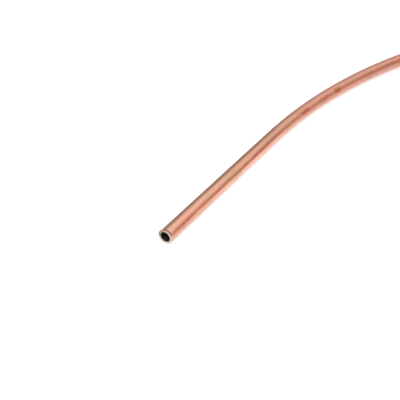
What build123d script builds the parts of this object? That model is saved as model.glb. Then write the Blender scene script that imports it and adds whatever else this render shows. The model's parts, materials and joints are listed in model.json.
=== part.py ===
"""Coil of brake line tubing, in millimetres, lying flat on a level floor.

One length of small-bore metal tube is wound into a coil of level turns, each lying on the turn
below. The bottom turn opens out into a wide bend and a straight stretch, the free end. Both ends
are square cuts, each with the slight burr that sawing leaves over the top of the tube.

The origin is on the coil's axis at floor level, +Z is up, and the free end points along -Y.
"""

import math
import os

from build123d import *

# Tube section
tube_diameter = 4.76
wall = 0.71

# Length of tube in the coil, measured along its middle
stock_length = 7620.0

# Free end, drawn out from the bottom turn
free_straight = 66.0
free_bend_radius = 220.0
free_bend_angle = 62.0

# Coil, wound clockwise as seen from above, from the free end inwards
coil_radius = 140.0
turn_gap = 0.24
climb_angle = 60.0
climb_ends_before_bend = 40.0

# Loose turns are never quite the same size: each half turn's radius differs by up to this much
radius_spread = 0.5
radius_phase = 240.0

# Far end, on top of the coil
far_straight = 30.0

# Cut ends: the burr is a ring set off upwards, so that it stands out on top and is slight below,
# where the cut has drawn the tube in a little
burr_rise = 0.20
burr_offset = 0.10
burr_length = 0.45
burr_taper = 0.06
burr_round = 0.08
cut_drawn_in = 0.10
bore_chamfer = 0.08

# Worked out from the sizes above
tube_radius = tube_diameter / 2
bore_radius = tube_radius - wall
cut_radius = tube_radius - cut_drawn_in
burr_radius = tube_radius + burr_rise - burr_offset
pitch = tube_diameter + turn_gap
full_turn = 360.0
up = Vector(0, 0, 1)


class Centreline:
    """The tube's middle line, built up from straight runs and tangent bends."""

    def __init__(self, start, heading):
        self.end = start
        self.heading = heading
        self.edges = []

    @property
    def length(self):
        return sum(edge.length for edge in self.edges)

    @property
    def right(self):
        """Level direction to the right of the tube, as seen from above."""
        return self.heading.cross(up).normalized()

    def straight(self, length):
        after = self.end + self.heading * length
        self.edges.append(Edge.make_line(self.end, after))
        self.end = after

    def bend(self, radius, angle, towards=None):
        """A bend through an angle in degrees, towards a direction across the tube."""
        start, heading = self.end, self.heading
        towards = towards or self.right

        def point(turned):
            return start + heading * (radius * math.sin(turned)) + towards * (radius * (1 - math.cos(turned)))

        turned = math.radians(angle)
        self.edges.append(Edge.make_three_point_arc(start, point(turned / 2), point(turned)))
        self.end = point(turned)
        self.heading = (heading * math.cos(turned) + towards * math.sin(turned)).normalized()

    def climb(self, radius, angle, rise):
        """Two equal bends, the first tilted up and the second back to level, that rise by one pitch.

        Seen from above they start and end on a level circle of the given radius, angle degrees apart.
        """
        half = math.radians(angle / 2)
        sag = radius * (1 - math.cos(half))
        slope = (sag - math.sqrt(sag**2 - rise**2 * math.cos(half))) / (rise * math.cos(half))
        tilt = math.atan(slope)
        bend_radius = radius * math.cos(tilt) / (math.cos(half) + (1 - math.cos(half)) * math.cos(tilt) ** 2)
        first_side = self.right * math.cos(tilt) + up * math.sin(tilt)
        middle_side = first_side * math.cos(half) - self.heading * math.sin(half)
        self.bend(bend_radius, angle / 2, first_side)
        # The second bend mirrors the first in the upright plane across the tube at the middle.
        self.bend(bend_radius, angle / 2, self.right * (2 * middle_side.dot(self.right)) - middle_side)


def turn_radius(half_turn):
    """Radius of one half turn of the coil."""
    return coil_radius + radius_spread * math.sin(math.radians(radius_phase * half_turn))


def tube_centreline():
    """The whole middle line, from the free end to the far end."""
    # The free end's bend is part of a wider circle that touches the coil's where the tube leaves it,
    # so both centres and the touching point are in one line.
    join_angle = math.radians(full_turn / 2 - free_bend_angle)
    join = Vector(math.cos(join_angle), math.sin(join_angle)) * coil_radius
    bend_centre = join * (1 - free_bend_radius / coil_radius)
    bend_start = bend_centre - Vector(free_bend_radius, 0) + up * tube_radius
    line = Centreline(bend_start - Vector(0, free_straight), Vector(0, 1))
    line.straight(burr_length)
    line.straight(free_straight - burr_length)
    line.bend(free_bend_radius, free_bend_angle)

    level_angle = full_turn - climb_angle
    level_length = math.radians(level_angle) * coil_radius
    climb_length = math.radians(climb_angle) * coil_radius
    bent_length = stock_length - far_straight
    half_turn = 0
    line.bend(coil_radius, level_angle - climb_ends_before_bend)
    line.climb(coil_radius, climb_angle, pitch)
    while bent_length - line.length > level_length + climb_length:
        for _ in range(2):
            half_turn += 1
            line.bend(turn_radius(half_turn), level_angle / 2)
        line.climb(turn_radius(half_turn), climb_angle, pitch)
    # A last turn that is nearly whole would run into the climb below it, so it climbs too, early.
    if bent_length - line.length > level_length:
        line.bend(coil_radius, math.degrees((bent_length - line.length - climb_length) / coil_radius))
        line.climb(coil_radius, climb_angle, pitch)
    line.bend(coil_radius, math.degrees((bent_length - line.length) / coil_radius))
    line.straight(far_straight - burr_length)
    line.straight(burr_length)
    return line


def cut_end(face):
    """The last stretch of tube at a cut, as long as its burr, from the face along its plane's normal."""
    from_face = (Align.CENTER, Align.CENTER, Align.MIN)
    raised_face = Plane(face.origin + up * burr_offset, z_dir=face.z_dir)
    burr = raised_face * Cone(burr_radius, burr_radius - burr_taper, burr_length, align=from_face)
    burr = fillet(burr.edges().filter_by(GeomType.CIRCLE), burr_round)
    end = burr + face * Cone(cut_radius, tube_radius, burr_length, align=from_face)
    end -= extrude(face * Circle(bore_radius), burr_length)
    rims = [edge for edge in end.edges().filter_by(GeomType.CIRCLE) if edge.radius == bore_radius]
    return chamfer(min(rims, key=lambda rim: (rim.arc_center - face.origin).length), bore_chamfer)


def tube():
    """The whole tube: a ring swept along the middle line, between its two cut ends."""
    line = tube_centreline()
    free_end, *between, far_end = line.edges
    section = Plane(between[0] @ 0, z_dir=between[0] % 0) * (Circle(tube_radius) - Circle(bore_radius))
    body = sweep(section, path=Wire(between))
    free_face = Plane(free_end @ 0, z_dir=free_end % 0)
    far_face = Plane(far_end @ 1, z_dir=-(far_end % 1))
    return body + cut_end(free_face) + cut_end(far_face)


if __name__ == "__main__":
    os.makedirs("parts", exist_ok=True)
    export_step(tube(), "parts/brake_line_tube.step")
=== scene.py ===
"""The looks of a coil of brake line tubing: the tube with its cut ends, and the stage that it lies on.

Lengths are in metres and angles in radians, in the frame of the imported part: the origin is on the
coil's axis at floor level, +Z is up and the free end points along -Y.
"""

import json
import math

import bpy
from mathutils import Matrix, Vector


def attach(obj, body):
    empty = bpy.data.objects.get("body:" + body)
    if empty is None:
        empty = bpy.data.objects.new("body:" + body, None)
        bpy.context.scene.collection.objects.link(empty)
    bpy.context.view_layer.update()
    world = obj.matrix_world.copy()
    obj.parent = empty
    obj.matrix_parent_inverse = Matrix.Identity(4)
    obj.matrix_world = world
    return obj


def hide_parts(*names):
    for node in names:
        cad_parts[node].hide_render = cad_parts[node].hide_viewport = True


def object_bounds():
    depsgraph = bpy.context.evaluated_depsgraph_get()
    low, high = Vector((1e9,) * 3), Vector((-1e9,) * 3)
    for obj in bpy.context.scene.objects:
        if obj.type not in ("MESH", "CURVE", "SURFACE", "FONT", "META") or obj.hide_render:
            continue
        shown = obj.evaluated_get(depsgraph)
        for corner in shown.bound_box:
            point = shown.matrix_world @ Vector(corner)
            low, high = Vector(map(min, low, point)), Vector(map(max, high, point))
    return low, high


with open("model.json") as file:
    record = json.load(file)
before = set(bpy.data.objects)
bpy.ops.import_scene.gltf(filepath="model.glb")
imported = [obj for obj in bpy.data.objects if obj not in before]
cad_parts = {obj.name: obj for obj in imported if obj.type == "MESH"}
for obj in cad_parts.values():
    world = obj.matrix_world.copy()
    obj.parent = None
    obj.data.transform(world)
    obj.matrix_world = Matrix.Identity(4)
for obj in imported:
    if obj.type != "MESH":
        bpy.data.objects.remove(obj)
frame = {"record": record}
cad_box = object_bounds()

bl_info = {
    "name": "Brake Line Coil",
    "version": (1, 0, 0),
    "blender": (4, 5, 0),
    "location": "3D View > Sidebar > Tube Coil",
    "description": "Makes a coil of copper-plated brake line tubing with its cut ends, and a plain stage",
    "category": "Add Mesh",
}

UP = Vector((0, 0, 1))
FULL_TURN = 2 * math.pi
MM = 0.001
TUBE_BODY = "root"
TUBE_NODE = "brake_line_tube"
FREE_END_MOUNT = next(mount for mount in frame["record"]["mounts"] if mount["name"] == "free_end_outside")
TUBE_RADIUS = FREE_END_MOUNT["dims"]["r_mm"] * MM

# The point attribute that says where each point would lie if the tube were straight, along X
STRAIGHT = "straight"

# The colour sockets of a Mix node, by number because their names repeat
MIX_FIRST, MIX_SECOND, MIX_RESULT = 6, 7, 2

# The tree's inputs that are sizes of the tube, each also a property of TubeSizes
TREE_SIZES = (
    "Tube Diameter", "Wall", "Burr Rise", "Burr Offset", "Burr Length", "Burr Taper", "Burr Round",
    "Cut Drawn In", "Bore Chamfer",
)

# Mesh details: points as near as this join, edges that turn more than this are sharp, and a burr's
# rounded edges are made in this many steps. The ring behind a burr is this part of the burr's round
# away from it, and a ring is part of the burr up to this many burr lengths from the cut.
JOIN_DISTANCE = 0.0005 * MM
SHARP_ANGLE = math.radians(40)
ROUND_STEPS = 2
RING_BEHIND_BURR = 1 / 50
BURR_END = 1.001

# Marks on the free end: the colour of each, its place along the tube and its angle round it from the
# right-hand side, its length and width, and its strength
MARKS = (
    ("red", (7.0 * MM, math.radians(30)), (7.0 * MM, 0.9 * MM), 0.7),
    ("olive", (2.9 * MM, math.radians(92)), (1.0 * MM, 0.7 * MM), 0.5),
    ("olive", (5.0 * MM, math.radians(84)), (1.0 * MM, 0.6 * MM), 0.5),
    ("red_stain", (86.7 * MM, math.radians(42)), (3.4 * MM, 0.95 * MM), 0.65),
    ("red_stain", (99.5 * MM, math.radians(38)), (3.8 * MM, 0.8 * MM), 0.45),
    ("brown_stain", (108.2 * MM, math.radians(44)), (2.4 * MM, 1.1 * MM), 0.7),
)

# A stretch on the bend darkened all round as painted shade, where the light falls off along the bend, made
# as a mark as wide as this. Dull stretches and that painted shade take on this much of their darker
# colour, and are this much rougher.
ALL_ROUND = 1.0
SHADED_STRETCH = ((120 * MM, 0.0), (55 * MM, ALL_ROUND), 1.0)
DULL_AND_SHADE_COVER, DULL_ROUGHER = 0.45, 0.22

# The thin bright film over the plating
FILM_WEIGHT, FILM_ROUGHNESS = 0.7, 0.25

# By the cut: the side that the painted shade behind the burr lies on and how many burr lengths it reaches,
# the side over which the cut has smeared copper, and what saw marks and rust do to the colours under them
BURR_SHADE_ANGLE = math.radians(72)
BURR_SHADE_REACH = 1.7
SMEAR_ANGLE = math.radians(112)
SAW_MARKS = (0.75, 0.75, 0.75)
RUST = (1.7, 1.1, 1.0)

# Stage: the floor, the lamps, and two grey screens that only metal shows. The flag stands in an arc
# round the back left, and the card lies beside the free end, its gap from the object's left side.
FLOOR_HALF_WIDTH = 3.0
FLOOR_ROUGHNESS = 0.9
KEY_PLACE, KEY_WIDTH = Vector((0.05, -0.1, 1.0)), 1.2
FILL_PLACE, FILL_WIDTH = Vector((0.6, -0.8, 0.7)), 0.8
LAMPS_AIM = Vector((-0.05, -0.05, 0.0))
FLAG_RADIUS, FLAG_HEIGHT, FLAG_PANELS = 0.9, 0.60, 24
FLAG_FROM, FLAG_TO = math.radians(-95), math.radians(5)
CARD_GAP, CARD_WIDTH, CARD_FRONT, CARD_BACK, CARD_LIFT = 0.0007, 0.1144, -0.20, 0.02, 0.0002

# Camera, as the photograph was taken: its place from the free end's cut, its level heading and how
# far it is tipped down
CAMERA_FROM_CUT = Vector((0.11005, -0.14936, 0.15425))
CAMERA_HEADING = Vector((-0.5467, 0.8373, 0)).normalized()
CAMERA_PITCH = math.radians(37.14)
SENSOR_WIDTH = 36.0
CLIP_START, CLIP_END = 0.005, 20.0


class TubeSizes(bpy.types.PropertyGroup):
    """The sizes of the tube and of the coil that it is wound into."""

    tube_diameter: bpy.props.FloatProperty(
        name="Tube Diameter", description="Outside diameter of the tube", unit="LENGTH",
        default=2 * TUBE_RADIUS, precision=5)
    wall: bpy.props.FloatProperty(
        name="Wall", description="Thickness of the tube's wall", unit="LENGTH", default=0.71 * MM,
        precision=5)
    stock_length: bpy.props.FloatProperty(
        name="Stock Length", description="Length of tube in the coil, along its middle", unit="LENGTH",
        default=7.62)
    free_straight: bpy.props.FloatProperty(
        name="Free Straight", description="Length of the straight free end", unit="LENGTH", default=66 * MM)
    free_bend_radius: bpy.props.FloatProperty(
        name="Free Bend Radius", description="Radius of the bend between the free end and the coil",
        unit="LENGTH", default=220 * MM)
    free_bend_angle: bpy.props.FloatProperty(
        name="Free Bend Angle", description="Angle that the free end's bend turns through",
        subtype="ANGLE", default=math.radians(62))
    coil_radius: bpy.props.FloatProperty(
        name="Coil Radius", description="Radius of the coil, to the tube's middle", unit="LENGTH",
        default=140 * MM)
    turn_gap: bpy.props.FloatProperty(
        name="Turn Gap", description="Height left between one turn and the next", unit="LENGTH",
        default=0.24 * MM, precision=5)
    climb_angle: bpy.props.FloatProperty(
        name="Climb Angle", description="Part of each turn in which the tube climbs onto the next",
        subtype="ANGLE", default=math.radians(60))
    climb_ends_before_bend: bpy.props.FloatProperty(
        name="Climb Ends Before Bend",
        description="Angle between the first climb's end and the free end's bend",
        subtype="ANGLE", default=math.radians(40))
    radius_spread: bpy.props.FloatProperty(
        name="Radius Spread", description="How far each half turn's radius departs from the coil's",
        unit="LENGTH", default=0.5 * MM, precision=5)
    radius_phase: bpy.props.FloatProperty(
        name="Radius Phase", description="Step from one half turn to the next in the wave of their radii",
        subtype="ANGLE", default=math.radians(240))
    far_straight: bpy.props.FloatProperty(
        name="Far Straight", description="Length of the straight far end", unit="LENGTH", default=30 * MM)
    burr_rise: bpy.props.FloatProperty(
        name="Burr Rise", description="Height of the burr over the top of the tube", unit="LENGTH",
        default=0.20 * MM, precision=5)
    burr_offset: bpy.props.FloatProperty(
        name="Burr Offset", description="How far the burr's ring is set off upwards", unit="LENGTH",
        default=0.10 * MM, precision=5)
    burr_length: bpy.props.FloatProperty(
        name="Burr Length", description="Length of the burr along the tube", unit="LENGTH",
        default=0.45 * MM, precision=5)
    burr_taper: bpy.props.FloatProperty(
        name="Burr Taper", description="How much less the burr's radius is at its root", unit="LENGTH",
        default=0.06 * MM, precision=5)
    burr_round: bpy.props.FloatProperty(
        name="Burr Round", description="Radius of the burr's edges", unit="LENGTH", default=0.08 * MM,
        precision=5)
    cut_drawn_in: bpy.props.FloatProperty(
        name="Cut Drawn In", description="How far the cut draws in the tube's edge", unit="LENGTH",
        default=0.10 * MM, precision=5)
    bore_chamfer: bpy.props.FloatProperty(
        name="Bore Chamfer", description="Width of the broken edge of the bore", unit="LENGTH",
        default=0.08 * MM, precision=5)
    sides: bpy.props.IntProperty(
        name="Sides", description="Number of flats round the tube", default=32)
    ring_step: bpy.props.FloatProperty(
        name="Ring Step", description="Most that two rings of the tube's mesh are apart", unit="LENGTH",
        default=6 * MM, precision=4)
    free_ring_step: bpy.props.FloatProperty(
        name="Free Ring Step", description="Most that two rings are apart on the free end", unit="LENGTH",
        default=2 * MM, precision=4)


class TubeColours(bpy.types.PropertyGroup):
    """The colours of the tube and the stage."""

    copper: bpy.props.FloatVectorProperty(
        name="Copper", description="Bright copper plating", subtype="COLOR", size=4,
        default=(0.74, 0.375, 0.25, 1))
    pink: bpy.props.FloatVectorProperty(
        name="Pink", description="Pinker patches of the plating", subtype="COLOR", size=4,
        default=(0.80, 0.39, 0.31, 1))
    tan: bpy.props.FloatVectorProperty(
        name="Tan", description="Dull, slightly green patches of the plating", subtype="COLOR", size=4,
        default=(0.56, 0.36, 0.205, 1))
    red: bpy.props.FloatVectorProperty(
        name="Red", description="Darker red streaks along the plating", subtype="COLOR", size=4,
        default=(0.60, 0.24, 0.145, 1))
    # Also the colour of the painted shade on a stretch of the bend, where the light falls off
    dull_and_shade: bpy.props.FloatVectorProperty(
        name="Dull", description="Stretches where the plating has gone dull", subtype="COLOR", size=4,
        default=(0.60, 0.31, 0.225, 1))
    red_stain: bpy.props.FloatVectorProperty(
        name="Red Stain", description="Red stains on the free end's bend", subtype="COLOR", size=4,
        default=(0.54, 0.125, 0.07, 1))
    brown_stain: bpy.props.FloatVectorProperty(
        name="Brown Stain", description="Brown stain on the free end's bend", subtype="COLOR", size=4,
        default=(0.44, 0.16, 0.055, 1))
    olive: bpy.props.FloatVectorProperty(
        name="Olive", description="Small yellow-green marks close behind the cut", subtype="COLOR", size=4,
        default=(0.50, 0.40, 0.18, 1))
    stain: bpy.props.FloatVectorProperty(
        name="Stain", description="Dark red-brown stains", subtype="COLOR", size=4,
        default=(0.26, 0.09, 0.055, 1))
    # Painted shade: a dark colour for the burr's shadow, on the burr and in the corner behind it
    painted_shade: bpy.props.FloatVectorProperty(
        name="Painted Shade", description="Dark grime in the corner behind the burr", subtype="COLOR", size=4,
        default=(0.02, 0.012, 0.008, 1))
    steel: bpy.props.FloatVectorProperty(
        name="Steel", description="Bare metal of the cut face and its burr", subtype="COLOR", size=4,
        default=(0.57, 0.555, 0.53, 1))
    bore: bpy.props.FloatVectorProperty(
        name="Bore", description="Dark oiled wall of the bore", subtype="COLOR", size=4,
        default=(0.11, 0.105, 0.085, 1))
    floor: bpy.props.FloatVectorProperty(
        name="Floor", description="Pale floor", subtype="COLOR", size=4, default=(0.9, 0.9, 0.9, 1))


class StageSettings(bpy.types.PropertyGroup):
    """The strength of the stage's lamps, sky and screens, and the camera's lens."""

    key_power: bpy.props.FloatProperty(
        name="Key Power", description="Power of the large lamp overhead", unit="POWER", default=5.0)
    fill_power: bpy.props.FloatProperty(
        name="Fill Power", description="Power of the lamp in front", unit="POWER", default=2.0)
    sky_strength: bpy.props.FloatProperty(
        name="Sky Strength", description="How brightly the white sky lights the object", default=0.6)
    floor_glow: bpy.props.FloatProperty(
        name="Floor Glow", description="Light that the floor adds where it is seen, so that it shows white",
        default=0.45)
    flag_grey: bpy.props.FloatProperty(
        name="Flag Grey", description="Grey of the standing screen that metal shows", default=0.28)
    card_grey: bpy.props.FloatProperty(
        name="Card Grey", description="Grey of the lying screen that metal shows", default=0.52)
    lens: bpy.props.FloatProperty(
        name="Lens", description="Focal length of the camera", unit="CAMERA", default=72.0)


class Centreline:
    """The points of the tube's middle line, from straight runs and tangent bends."""

    def __init__(self, start, heading, step):
        self.points = [start]
        self.heading = heading
        self.step = step
        self.length = 0.0

    @property
    def right(self):
        """Level direction to the right of the tube, as seen from above."""
        return self.heading.cross(UP).normalized()

    def straight(self, length):
        start = self.points[-1]
        count = max(1, math.ceil(length / self.step))
        self.points += [start + self.heading * (length * number / count) for number in range(1, count + 1)]
        self.length += length

    def bend(self, radius, angle, towards=None):
        """A bend through an angle, towards a direction across the tube."""
        start = self.points[-1]
        heading = self.heading
        towards = towards or self.right
        count = max(1, math.ceil(radius * angle / self.step))
        for number in range(1, count + 1):
            turned = angle * number / count
            self.points.append(
                start + heading * (radius * math.sin(turned)) + towards * (radius * (1 - math.cos(turned))))
        self.heading = (heading * math.cos(angle) + towards * math.sin(angle)).normalized()
        self.length += radius * angle

    def climb(self, radius, angle, rise):
        """Two equal bends, the first tilted up and the second back to level, that rise by one pitch."""
        half = angle / 2
        sag = radius * (1 - math.cos(half))
        slope = (sag - math.sqrt(sag**2 - rise**2 * math.cos(half))) / (rise * math.cos(half))
        tilt = math.atan(slope)
        bend_radius = radius * math.cos(tilt) / (math.cos(half) + (1 - math.cos(half)) * math.cos(tilt) ** 2)
        first_side = self.right * math.cos(tilt) + UP * math.sin(tilt)
        middle_side = first_side * math.cos(half) - self.heading * math.sin(half)
        self.bend(bend_radius, half, first_side)
        self.bend(bend_radius, half, self.right * (2 * middle_side.dot(self.right)) - middle_side)


def cut_stations(sizes):
    """Distances from a cut at which the tube's mesh has rings, for the edges of its burr."""
    turned = FULL_TURN / 4 / ROUND_STEPS
    edge = [sizes.burr_round * (1 - math.cos(turned * number)) for number in range(ROUND_STEPS + 1)]
    behind = sizes.burr_length + sizes.burr_round * RING_BEHIND_BURR
    return edge + [sizes.burr_length - station for station in reversed(edge)] + [behind]


def tube_points(sizes):
    """Points along the tube's middle line, close together at the burrs and along the free end."""
    pitch = sizes.tube_diameter + sizes.turn_gap
    join_angle = FULL_TURN / 2 - sizes.free_bend_angle
    join = Vector((math.cos(join_angle), math.sin(join_angle), 0)) * sizes.coil_radius
    bend_centre = join * (1 - sizes.free_bend_radius / sizes.coil_radius)
    bend_start = bend_centre - Vector((sizes.free_bend_radius, 0, 0)) + UP * (sizes.tube_diameter / 2)
    stations = cut_stations(sizes)
    steps = [after - before for before, after in zip(stations, stations[1:])]
    cut_length = stations[-1]

    line = Centreline(
        bend_start - Vector((0, sizes.free_straight, 0)), Vector((0, 1, 0)), sizes.free_ring_step)
    for step in steps:
        line.straight(step)
    line.straight(sizes.free_straight - cut_length)
    line.bend(sizes.free_bend_radius, sizes.free_bend_angle)

    line.step = sizes.ring_step
    level_angle = FULL_TURN - sizes.climb_angle
    level_length = level_angle * sizes.coil_radius
    climb_length = sizes.climb_angle * sizes.coil_radius
    bent_length = sizes.stock_length - sizes.far_straight
    half_turn = 0
    radius = sizes.coil_radius
    line.bend(radius, level_angle - sizes.climb_ends_before_bend)
    line.climb(radius, sizes.climb_angle, pitch)
    while bent_length - line.length > level_length + climb_length:
        for _ in range(2):
            half_turn += 1
            radius = sizes.coil_radius + sizes.radius_spread * math.sin(sizes.radius_phase * half_turn)
            line.bend(radius, level_angle / 2)
        line.climb(radius, sizes.climb_angle, pitch)
    # A last turn that is nearly whole would run into the climb below it, so it climbs too, early.
    if bent_length - line.length > level_length:
        line.bend(sizes.coil_radius, (bent_length - line.length - climb_length) / sizes.coil_radius)
        line.climb(sizes.coil_radius, sizes.climb_angle, pitch)
    line.bend(sizes.coil_radius, (bent_length - line.length) / sizes.coil_radius)
    line.straight(sizes.far_straight - cut_length)
    for step in reversed(steps):
        line.straight(step)
    return line.points


class Nodes:
    """Adds nodes to a node tree, with their settings made and their inputs linked or set."""

    def __init__(self, group):
        self.group = group

    def add(self, kind, inputs=None, **settings):
        node = self.group.nodes.new(kind)
        for name, value in settings.items():
            setattr(node, name, value)
        for name, value in (inputs or {}).items():
            self.feed(node.inputs[name], value)
        return node

    def out(self, output, kind, inputs=None, **settings):
        """Adds a node and returns one of its outputs."""
        return self.add(kind, inputs, **settings).outputs[output]

    def feed(self, socket, value):
        """Links another node's output to an input, or sets the input's own value."""
        if isinstance(value, bpy.types.NodeSocket):
            self.group.links.new(value, socket)
        else:
            socket.default_value = value

    def math(self, operation, first, second=0.0):
        return self.out("Value", "ShaderNodeMath", {0: first, 1: second}, operation=operation)

    def vector_math(self, operation, first, second=(0, 0, 0)):
        output = "Value" if operation in ("DOT_PRODUCT", "LENGTH") else "Vector"
        return self.out(output, "ShaderNodeVectorMath", {0: first, 1: second}, operation=operation)


class GeometryTree(Nodes):
    """A geometry node tree with named inputs, and short ways to add the nodes that a tube needs."""

    def __init__(self, name, inputs):
        super().__init__(bpy.data.node_groups.new(name, "GeometryNodeTree"))
        interface = self.group.interface
        interface.new_socket("Geometry", in_out="INPUT", socket_type="NodeSocketGeometry")
        for label, kind in inputs:
            interface.new_socket(label, in_out="INPUT", socket_type=kind)
        interface.new_socket("Geometry", in_out="OUTPUT", socket_type="NodeSocketGeometry")
        self.given = self.group.nodes.new("NodeGroupInput").outputs
        self.result = self.group.nodes.new("NodeGroupOutput").inputs["Geometry"]

    def scaled(self, vector, scale):
        return self.out("Vector", "ShaderNodeVectorMath", {0: vector, "Scale": scale}, operation="SCALE")

    def compare(self, operation, first, second):
        return self.out("Result", "FunctionNodeCompare", {
            "A": first, "B": second}, data_type="FLOAT", operation=operation)

    def capture(self, geometry, domain, sources):
        """Stores fields on a geometry as it now is, and returns it and the stored fields in order."""
        node = self.add("GeometryNodeCaptureAttribute", {"Geometry": geometry}, domain=domain)
        for name, (kind, source) in sources.items():
            node.capture_items.new(kind, name)
            self.feed(node.inputs[name], source)
        return [node.outputs["Geometry"]] + [node.outputs[name] for name in sources]

    def made_of(self, mesh, material, selection=True):
        return self.out("Geometry", "GeometryNodeSetMaterial", {
            "Geometry": mesh, "Material": self.given[material], "Selection": selection})


def wall_radius(tree, from_cut, tube_radius):
    """The tube's radius, drawn in a little towards each cut."""
    near_cut = tree.math("SUBTRACT", 1.0, tree.math("DIVIDE", from_cut, tree.given["Burr Length"]))
    drawn_in = tree.math("MULTIPLY", tree.given["Cut Drawn In"], tree.math("MAXIMUM", near_cut, 0.0))
    return tree.math("SUBTRACT", tube_radius, drawn_in)


def burr_reach(tree, from_cut, tube_radius, across, raised):
    """How far a burr reaches from the tube's middle: it is a tapered round with rounded edges, set off
    upwards. Past the burr it is 0."""
    length, rounding, offset = (tree.given[label] for label in ("Burr Length", "Burr Round", "Burr Offset"))
    to_edge = tree.math("MINIMUM", from_cut, tree.math("SUBTRACT", length, from_cut))
    short_of = tree.math("MAXIMUM", tree.math("SUBTRACT", rounding, to_edge), 0.0)
    edge_height = tree.math("SQRT", tree.math(
        "SUBTRACT", tree.math("POWER", rounding, 2.0), tree.math("POWER", short_of, 2.0)))
    edge_depth = tree.math("SUBTRACT", rounding, edge_height)
    full_radius = tree.math("SUBTRACT", tree.math("ADD", tube_radius, tree.given["Burr Rise"]), offset)
    taper = tree.math("MULTIPLY", tree.given["Burr Taper"], tree.math("DIVIDE", from_cut, length))
    radius = tree.math("SUBTRACT", tree.math("SUBTRACT", full_radius, taper), edge_depth)

    # From the round's own middle to the tube's
    sideways = tree.math("MULTIPLY", offset, across)
    from_offset = tree.math("SQRT", tree.math(
        "SUBTRACT", tree.math("POWER", radius, 2.0), tree.math("POWER", sideways, 2.0)))
    reach = tree.math("ADD", tree.math("MULTIPLY", offset, raised), from_offset)
    in_burr = tree.math("LESS_THAN", from_cut, tree.math("MULTIPLY", length, BURR_END))
    return tree.math("MULTIPLY", reach, in_burr)


def bore_radius(tree, from_cut, tube_radius):
    """The bore's radius, widened by a chamfer at each cut."""
    chamfer = tree.math("MAXIMUM", tree.math("SUBTRACT", tree.given["Bore Chamfer"], from_cut), 0.0)
    return tree.math("ADD", tree.math("SUBTRACT", tube_radius, tree.given["Wall"]), chamfer)


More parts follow.
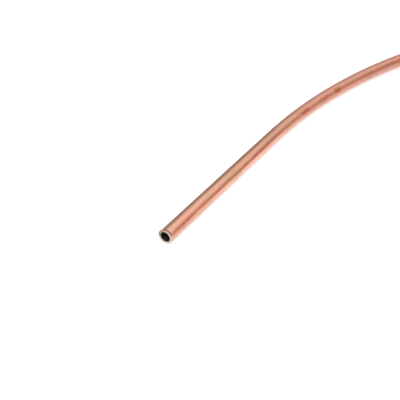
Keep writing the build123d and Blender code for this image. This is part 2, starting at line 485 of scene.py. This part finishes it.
def tube_tree():
    """Sweeps a round wall and its bore along a route, with a burr and a cut face at each end."""
    tree = GeometryTree("Cut Tube", (
        [(label, "NodeSocketFloat") for label in TREE_SIZES] + [("Sides", "NodeSocketInt")]
        + [(label, "NodeSocketMaterial") for label in ("Plating", "Cut Metal", "Bore Wall")]))
    given = tree.given
    route = tree.out("Curve", "GeometryNodeMeshToCurve", {"Mesh": given["Geometry"]})
    route = tree.out("Curve", "GeometryNodeSetCurveNormal", {"Curve": route}, mode="Z_UP")

    # What each point of the route is told to pass on to its ring of the tube
    route, centre, tangent, along, whole = tree.capture(route, "POINT", {
        "Centre": ("VECTOR", tree.out("Position", "GeometryNodeInputPosition")),
        "Tangent": ("VECTOR", tree.out("Tangent", "GeometryNodeInputTangent")),
        "Along": ("FLOAT", tree.out("Length", "GeometryNodeSplineParameter")),
        "Whole": ("FLOAT", tree.out("Length", "GeometryNodeSplineLength")),
    })
    # The profile gives only directions across the tube: each point is later put at its own radius.
    profile = tree.out("Curve", "GeometryNodeCurvePrimitiveCircle", {
        "Resolution": given["Sides"], "Radius": given["Tube Diameter"]})
    sleeve = tree.out("Mesh", "GeometryNodeCurveToMesh", {"Curve": route, "Profile Curve": profile})
    sleeve = tree.made_of(sleeve, "Plating")

    # Directions across the tube, and the distance to the nearer cut
    position = tree.out("Position", "GeometryNodeInputPosition")
    outward = tree.vector_math("NORMALIZE", tree.vector_math("SUBTRACT", position, centre))
    rightward = tree.vector_math("NORMALIZE", tree.vector_math("CROSS_PRODUCT", tangent, tuple(UP)))
    upward = tree.vector_math("CROSS_PRODUCT", rightward, tangent)
    across = tree.vector_math("DOT_PRODUCT", outward, rightward)
    raised = tree.vector_math("DOT_PRODUCT", outward, upward)
    from_cut = tree.math("MAXIMUM", tree.math("MINIMUM", along, tree.math("SUBTRACT", whole, along)), 0.0)
    tube_radius = tree.math("DIVIDE", given["Tube Diameter"], 2.0)
    outer = tree.math(
        "MAXIMUM", wall_radius(tree, from_cut, tube_radius),
        burr_reach(tree, from_cut, tube_radius, across, raised))
    inner = bore_radius(tree, from_cut, tube_radius)

    def at_radius(geometry, radius, selection=True):
        place = tree.vector_math("ADD", centre, tree.scaled(outward, radius))
        return tree.out("Geometry", "GeometryNodeSetPosition", {
            "Geometry": geometry, "Position": place, "Selection": selection})

    # The outside, with a cut face drawn in from each open rim, and the bore
    outside = at_radius(sleeve, outer)
    faces_beside = tree.out("Face Count", "GeometryNodeInputMeshEdgeNeighbors")
    cut = tree.add("GeometryNodeExtrudeMesh", {
        "Mesh": outside, "Selection": tree.compare("LESS_THAN", faces_beside, 2), "Offset Scale": 0.0,
    }, mode="EDGES").outputs
    outside = at_radius(cut["Mesh"], inner, cut["Top"])
    bore = tree.out("Mesh", "GeometryNodeFlipFaces", {"Mesh": at_radius(sleeve, inner)})
    bore, in_bore = tree.capture(bore, "FACE", {"In Bore": ("BOOLEAN", True)})
    joined = tree.add("GeometryNodeJoinGeometry")
    for mesh in (outside, bore):
        tree.group.links.new(mesh, joined.inputs["Geometry"])
    mesh = tree.out("Geometry", "GeometryNodeMergeByDistance", {
        "Geometry": joined.outputs["Geometry"], "Distance": JOIN_DISTANCE})

    laid_straight = tree.out("Vector", "ShaderNodeCombineXYZ", {
        "X": along,
        "Y": tree.math("MULTIPLY", across, tube_radius),
        "Z": tree.math("MULTIPLY", raised, tube_radius),
    })
    mesh = tree.out("Geometry", "GeometryNodeStoreNamedAttribute", {
        "Geometry": mesh, "Name": STRAIGHT, "Value": laid_straight,
    }, data_type="FLOAT_VECTOR", domain="POINT")
    edge_turn = tree.out("Unsigned Angle", "GeometryNodeInputMeshEdgeAngle")
    sharp = tree.compare("GREATER_THAN", edge_turn, SHARP_ANGLE)
    mesh = tree.out("Geometry", "GeometryNodeSetShadeSmooth", {
        "Geometry": mesh, "Selection": sharp, "Shade Smooth": False}, domain="EDGE")

    mesh = tree.out("Geometry", "GeometryNodeRealizeInstances", {"Geometry": mesh})
    mesh = tree.made_of(mesh, "Cut Metal", tree.compare("LESS_THAN", from_cut, given["Burr Round"]))
    mesh = tree.made_of(mesh, "Bore Wall", in_bore)
    tree.feed(tree.result, mesh)
    return tree.group


class Shading(Nodes):
    """A material's node tree, with short ways to add patterns and mixes."""

    def __init__(self, name):
        self.material = bpy.data.materials.new(name)
        self.material.use_nodes = True
        super().__init__(self.material.node_tree)
        self.surface = self.group.nodes["Principled BSDF"].inputs
        self.straight = self.out(
            "Vector", "ShaderNodeAttribute", attribute_name=STRAIGHT, attribute_type="GEOMETRY")

    def noise(self, along, around, seed, detail=3.0, roughness=0.6):
        """Noise drawn out along the tube. The sizes are those of its patches."""
        stretched = self.out("Vector", "ShaderNodeMapping", {
            "Vector": self.straight, "Location": (seed, seed, seed),
            "Scale": (1 / along, 1 / around, 1 / around),
        }, vector_type="POINT")
        return self.out("Fac", "ShaderNodeTexNoise", {
            "Vector": stretched, "Scale": 1.0, "Detail": detail, "Roughness": roughness})

    def ramp(self, value, low, high, start=0.0, end=1.0):
        """A value that goes smoothly from start to end while the given one goes from low to high."""
        return self.out("Result", "ShaderNodeMapRange", {
            "Value": value, "From Min": low, "From Max": high, "To Min": start, "To Max": end,
        }, interpolation_type="SMOOTHSTEP")

    def mix(self, factor, first, second):
        return self.out(MIX_RESULT, "ShaderNodeMix", {
            "Factor": factor, MIX_FIRST: first, MIX_SECOND: second}, data_type="RGBA")

    def spot(self, place, size, strength):
        """An uneven spot at a distance along the tube and an angle round it from its right-hand side."""
        along, angle = place
        centre = (along, math.cos(angle) * TUBE_RADIUS, math.sin(angle) * TUBE_RADIUS)
        length, width = size
        away = self.vector_math("SUBTRACT", self.straight, centre)
        away = self.vector_math("MULTIPLY", away, (1 / length, 1 / width, 1 / width))
        distance = self.vector_math("LENGTH", away)
        ragged = self.ramp(self.noise(length / 2, width / 2, seed=71), low=0.2, high=0.8, start=-0.4, end=0.4)
        return self.ramp(self.math("ADD", distance, ragged), low=0.5, high=1.2, start=strength, end=0.0)

    def towards(self, angle):
        """1 on the side of the tube that faces an angle round it, less beside that, and -1 opposite."""
        side = (0, math.cos(angle) / TUBE_RADIUS, math.sin(angle) / TUBE_RADIUS)
        return self.vector_math("DOT_PRODUCT", self.straight, side)

    def shade_behind_burr(self, burr_length):
        """Painted shadow of the burr: a thin dark line over the top right of the tube, on the burr and in the
        corner behind it.
        """
        along = self.out("X", "ShaderNodeSeparateXYZ", {0: self.straight})
        behind = self.ramp(along, low=burr_length, high=BURR_SHADE_REACH * burr_length, start=1.0, end=0.0)
        return self.math("MULTIPLY", behind, self.ramp(self.towards(BURR_SHADE_ANGLE), low=0.62, high=0.92))

    def bump(self, height, distance):
        """Adds relief to that already on the surface."""
        node = self.add("ShaderNodeBump", {"Height": height, "Distance": distance, "Strength": 1.0})
        for link in self.surface["Normal"].links:
            self.feed(node.inputs["Normal"], link.from_socket)
        self.feed(self.surface["Normal"], node.outputs["Normal"])

    def finish(self, colour, roughness):
        """Makes the surface metal, of a colour and a roughness."""
        self.surface["Metallic"].default_value = 1.0
        self.feed(self.surface["Base Color"], colour)
        self.feed(self.surface["Roughness"], roughness)
        return self.material


def times(colour, factors):
    """A colour with its red, green and blue each multiplied."""
    return tuple(part * factor for part, factor in zip(colour, factors)) + (1.0,)


def plating_material(colours, burr_length):
    """Drawn copper plating: streaks along the tube, duller and pink patches, marks, painted shade on the bend
    and behind the burr.
    """
    shading = Shading("copper_plating")
    streaks = shading.noise(along=40 * MM, around=0.3 * MM, seed=3, detail=4)
    patches = shading.noise(along=6 * MM, around=2 * MM, seed=11)
    pink_patches = shading.noise(along=4.5 * MM, around=1.6 * MM, seed=17, detail=2)
    red_runs = shading.noise(along=30 * MM, around=1 * MM, seed=23, detail=2)
    stains = shading.noise(along=6 * MM, around=1.6 * MM, seed=37, detail=4, roughness=0.7)
    dull_stretches = shading.noise(along=110 * MM, around=20 * MM, seed=53, detail=1)

    # Each layer lies over those before it: its pattern, the pattern's values between which it comes
    # in, how much it covers, and its colour
    layers = (
        (pink_patches, 0.48, 0.66, 1.0, colours.pink),
        (patches, 0.50, 0.70, 0.85, colours.tan),
        (red_runs, 0.50, 0.75, 0.6, colours.red),
        (streaks, 0.52, 0.80, 0.5, colours.red),
        (stains, 0.68, 0.78, 0.8, colours.stain),
    )
    colour = colours.copper
    for pattern, low, high, cover, tint in layers:
        colour = shading.mix(shading.ramp(pattern, low, high, end=cover), colour, tint)
    # Stretches of duller plating at random, and one stretch on the bend darkened as painted shade where the
    # light falls off
    dull_and_shade = shading.math(
        "MAXIMUM", shading.ramp(dull_stretches, low=0.45, high=0.60), shading.spot(*SHADED_STRETCH))
    colour = shading.mix(shading.math("MULTIPLY", dull_and_shade, DULL_AND_SHADE_COVER), colour, colours.dull_and_shade)
    for name, place, size, strength in MARKS:
        colour = shading.mix(shading.spot(place, size, strength), colour, getattr(colours, name))
    # Painted shadow of the burr, on it and in the corner behind it
    colour = shading.mix(shading.shade_behind_burr(burr_length), colour, colours.painted_shade)

    roughness = shading.ramp(patches, low=0.3, high=0.8, start=0.28, end=0.42)
    roughness = shading.math("ADD", roughness, shading.math("MULTIPLY", dull_and_shade, DULL_ROUGHER))
    shading.surface["Coat Weight"].default_value = FILM_WEIGHT
    shading.surface["Coat Roughness"].default_value = FILM_ROUGHNESS
    shading.bump(shading.noise(along=12 * MM, around=3 * MM, seed=41, detail=1), distance=0.10 * MM)
    shading.bump(streaks, distance=0.02 * MM)
    return shading.finish(colour, roughness)


def cut_material(colours):
    """Bare metal left by the cut, with saw marks, and with copper smeared over it here and there."""
    shading = Shading("bare_cut_metal")
    marks = shading.noise(along=0.4 * MM, around=0.25 * MM, seed=5, detail=4)
    patches = shading.noise(along=2 * MM, around=1.4 * MM, seed=13, detail=2)
    over_top = shading.ramp(shading.towards(SMEAR_ANGLE), low=0.7, high=1.0, end=0.8)
    smears = shading.math("MAXIMUM", shading.ramp(patches, low=0.5, high=0.65, end=0.45), over_top)
    marked_steel = times(colours.steel, SAW_MARKS)
    colour = shading.mix(shading.ramp(marks, low=0.4, high=0.7), colours.steel, marked_steel)
    colour = shading.mix(smears, colour, colours.pink)
    shading.bump(marks, distance=0.03 * MM)
    return shading.finish(colour, shading.ramp(marks, low=0.3, high=0.8, start=0.42, end=0.6))


def bore_material(colours):
    """Dark, oiled wall of the bore, a little rusty."""
    shading = Shading("dark_bore_wall")
    film = shading.noise(along=4 * MM, around=1 * MM, seed=7)
    rusty = times(colours.bore, RUST)
    colour = shading.mix(shading.ramp(film, low=0.4, high=0.7), colours.bore, rusty)
    return shading.finish(colour, shading.ramp(film, low=0.3, high=0.7, start=0.45, end=0.7))


def tube_mesh_object(context):
    """The tube as one plain mesh, its place in its points."""
    sizes = context.scene.tube_sizes
    colours = context.scene.tube_colours
    points = tube_points(sizes)
    route = bpy.data.meshes.new("tube_route")
    route.from_pydata(points, [(number, number + 1) for number in range(len(points) - 1)], [])
    maker = bpy.data.objects.new("tube_route", route)
    context.scene.collection.objects.link(maker)
    modifier = maker.modifiers.new("Cut Tube", "NODES")
    modifier.node_group = tube_tree()
    given = {label: getattr(sizes, label.lower().replace(" ", "_")) for label in TREE_SIZES}
    given["Sides"] = sizes.sides
    given["Plating"] = plating_material(colours, sizes.burr_length)
    given["Cut Metal"] = cut_material(colours)
    given["Bore Wall"] = bore_material(colours)
    for item in modifier.node_group.interface.items_tree:
        if item.in_out == "INPUT" and item.name in given:
            modifier[item.identifier] = given[item.name]
    evaluated = maker.evaluated_get(context.evaluated_depsgraph_get())
    mesh = bpy.data.meshes.new_from_object(evaluated)
    bpy.data.objects.remove(maker)
    mesh.name = "copper_plated_tube"
    tube = bpy.data.objects.new(mesh.name, mesh)
    context.scene.collection.objects.link(tube)
    return tube


class MakeTube(bpy.types.Operator):
    """Make the tube, wound into its coil, with both cut ends"""

    bl_idname = "tube_coil.make_tube"
    bl_label = "Make Tube"

    def execute(self, context):
        tube = tube_mesh_object(context)
        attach(tube, TUBE_BODY)
        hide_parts(TUBE_NODE)
        return {"FINISHED"}


def facing(direction):
    """The turn that points a camera or a lamp in a direction."""
    return direction.to_track_quat("-Z", "Y").to_euler()


def seen_rays(nodes):
    """1 for rays from the camera and by way of metal or glass, 0 for those that only light things."""
    path = nodes.add("ShaderNodeLightPath").outputs
    seen = nodes.math("MAXIMUM", path["Is Camera Ray"], path["Is Glossy Ray"])
    return nodes.math("MAXIMUM", seen, path["Is Transmission Ray"])


def light_stage(scene, settings):
    """A large lamp overhead, a small one in front, and a soft sky that shows as plain white."""
    lamps = (
        ("key", KEY_PLACE, KEY_WIDTH, settings.key_power),
        ("fill", FILL_PLACE, FILL_WIDTH, settings.fill_power),
    )
    for name, place, width, power in lamps:
        data = bpy.data.lights.new(name, "AREA")
        data.shape = "SQUARE"
        data.size = width
        data.energy = power
        lamp = bpy.data.objects.new(name, data)
        lamp.location = place
        lamp.rotation_euler = facing(LAMPS_AIM - place)
        scene.collection.objects.link(lamp)
    scene.world = bpy.data.worlds.new("studio")
    scene.world.use_nodes = True
    nodes = Nodes(scene.world.node_tree)
    sky = nodes.group.nodes["Background"].inputs
    sky["Color"].default_value = (1, 1, 1, 1)
    strength = nodes.out("Result", "ShaderNodeMapRange", {
        "Value": seen_rays(nodes), "To Min": settings.sky_strength, "To Max": 1.0})
    nodes.feed(sky["Strength"], strength)


def stage_object(scene, name, points, faces, material):
    """Adds a mesh that belongs to the stage, not to the object."""
    mesh = bpy.data.meshes.new(name)
    mesh.from_pydata(points, [], faces)
    mesh.materials.append(material)
    piece = bpy.data.objects.new(name, mesh)
    scene.collection.objects.link(piece)
    return piece


def make_floor(scene, colour, glow):
    """A pale floor that keeps the object's soft shadow and shows as white beyond it."""
    material = bpy.data.materials.new("pale_floor")
    material.use_nodes = True
    nodes = Nodes(material.node_tree)
    surface = nodes.group.nodes["Principled BSDF"].inputs
    surface["Base Color"].default_value = colour
    surface["Roughness"].default_value = FLOOR_ROUGHNESS
    surface["Specular IOR Level"].default_value = 0.0
    surface["Emission Color"].default_value = (1, 1, 1, 1)
    nodes.feed(surface["Emission Strength"], nodes.math("MULTIPLY", seen_rays(nodes), glow))
    half = FLOOR_HALF_WIDTH
    corners = [(-half, -half, 0), (half, -half, 0), (half, half, 0), (-half, half, 0)]
    stage_object(scene, "floor", corners, [(0, 1, 2, 3)], material)


def make_screen(scene, name, points, faces, grey):
    """A plain grey screen that shows in reflections alone."""
    material = bpy.data.materials.new(name)
    material.use_nodes = True
    nodes = Nodes(material.node_tree)
    glow = nodes.out("Emission", "ShaderNodeEmission", {"Color": (grey, grey, grey, 1), "Strength": 1.0})
    nodes.feed(nodes.group.nodes["Material Output"].inputs["Surface"], glow)
    screen = stage_object(scene, name, points, faces, material)
    for rays in ("camera", "diffuse", "shadow", "transmission"):
        setattr(screen, "visible_" + rays, False)


def make_screens(scene, settings):
    """The dark side of a copper shine: a screen round the back left, and a card beside the free end."""
    points = []
    for number in range(FLAG_PANELS + 1):
        heading = FLAG_FROM + (FLAG_TO - FLAG_FROM) * number / FLAG_PANELS
        foot = Vector((math.sin(heading), math.cos(heading), 0)) * FLAG_RADIUS
        points += [foot, foot + UP * FLAG_HEIGHT]
    panels = [(2 * n, 2 * n + 2, 2 * n + 3, 2 * n + 1) for n in range(FLAG_PANELS)]
    make_screen(scene, "grey_flag", points, panels, settings.flag_grey)
    right = cad_box[0][0] - CARD_GAP
    left = right - CARD_WIDTH
    corners = [
        (left, CARD_FRONT, CARD_LIFT), (right, CARD_FRONT, CARD_LIFT),
        (right, CARD_BACK, CARD_LIFT), (left, CARD_BACK, CARD_LIFT),
    ]
    make_screen(scene, "floor_card", corners, [(0, 1, 2, 3)], settings.card_grey)


def make_camera(scene, burr_length, lens):
    """The camera, set where the photograph was taken from, as seen from the free end's cut."""
    mount = FREE_END_MOUNT
    cut_from_mount = mount["dims"]["length_mm"] * MM / 2 + burr_length
    cut = Vector(mount["pos_m"]) + Vector(mount["axis"]) * cut_from_mount
    data = bpy.data.cameras.new("camera")
    data.sensor_width = SENSOR_WIDTH
    data.lens = lens
    data.clip_start = CLIP_START
    data.clip_end = CLIP_END
    camera = bpy.data.objects.new("camera", data)
    camera.location = cut + CAMERA_FROM_CUT
    camera.rotation_euler = facing(CAMERA_HEADING * math.cos(CAMERA_PITCH) - UP * math.sin(CAMERA_PITCH))
    scene.collection.objects.link(camera)
    scene.camera = camera


class MakeStage(bpy.types.Operator):
    """Make the pale floor, the soft studio light and the camera"""

    bl_idname = "tube_coil.make_stage"
    bl_label = "Make Stage"

    def execute(self, context):
        scene = context.scene
        settings = scene.stage_settings
        make_floor(scene, scene.tube_colours.floor, settings.floor_glow)
        light_stage(scene, settings)
        make_screens(scene, settings)
        make_camera(scene, scene.tube_sizes.burr_length, settings.lens)
        scene.view_settings.view_transform = "Standard"
        return {"FINISHED"}


class TubeCoilPanel(bpy.types.Panel):
    """Sizes, colours and buttons for the coil"""

    bl_idname = "VIEW3D_PT_tube_coil"
    bl_label = "Tube Coil"
    bl_space_type = "VIEW_3D"
    bl_region_type = "UI"
    bl_category = "Tube Coil"

    def draw(self, context):
        scene = context.scene
        for group in (scene.tube_sizes, scene.tube_colours, scene.stage_settings):
            for name in group.__annotations__:
                self.layout.prop(group, name)
        for operator in (MakeTube, MakeStage):
            self.layout.operator(operator.bl_idname)


CLASSES = (TubeSizes, TubeColours, StageSettings, MakeTube, MakeStage, TubeCoilPanel)


def register():
    for each in CLASSES:
        bpy.utils.register_class(each)
    bpy.types.Scene.tube_sizes = bpy.props.PointerProperty(type=TubeSizes)
    bpy.types.Scene.tube_colours = bpy.props.PointerProperty(type=TubeColours)
    bpy.types.Scene.stage_settings = bpy.props.PointerProperty(type=StageSettings)


def unregister():
    del bpy.types.Scene.stage_settings
    del bpy.types.Scene.tube_colours
    del bpy.types.Scene.tube_sizes
    for each in reversed(CLASSES):
        bpy.utils.unregister_class(each)


def main():
    register()
    bpy.ops.tube_coil.make_tube()
    bpy.ops.tube_coil.make_stage()


if __name__ == "__main__":
    main()
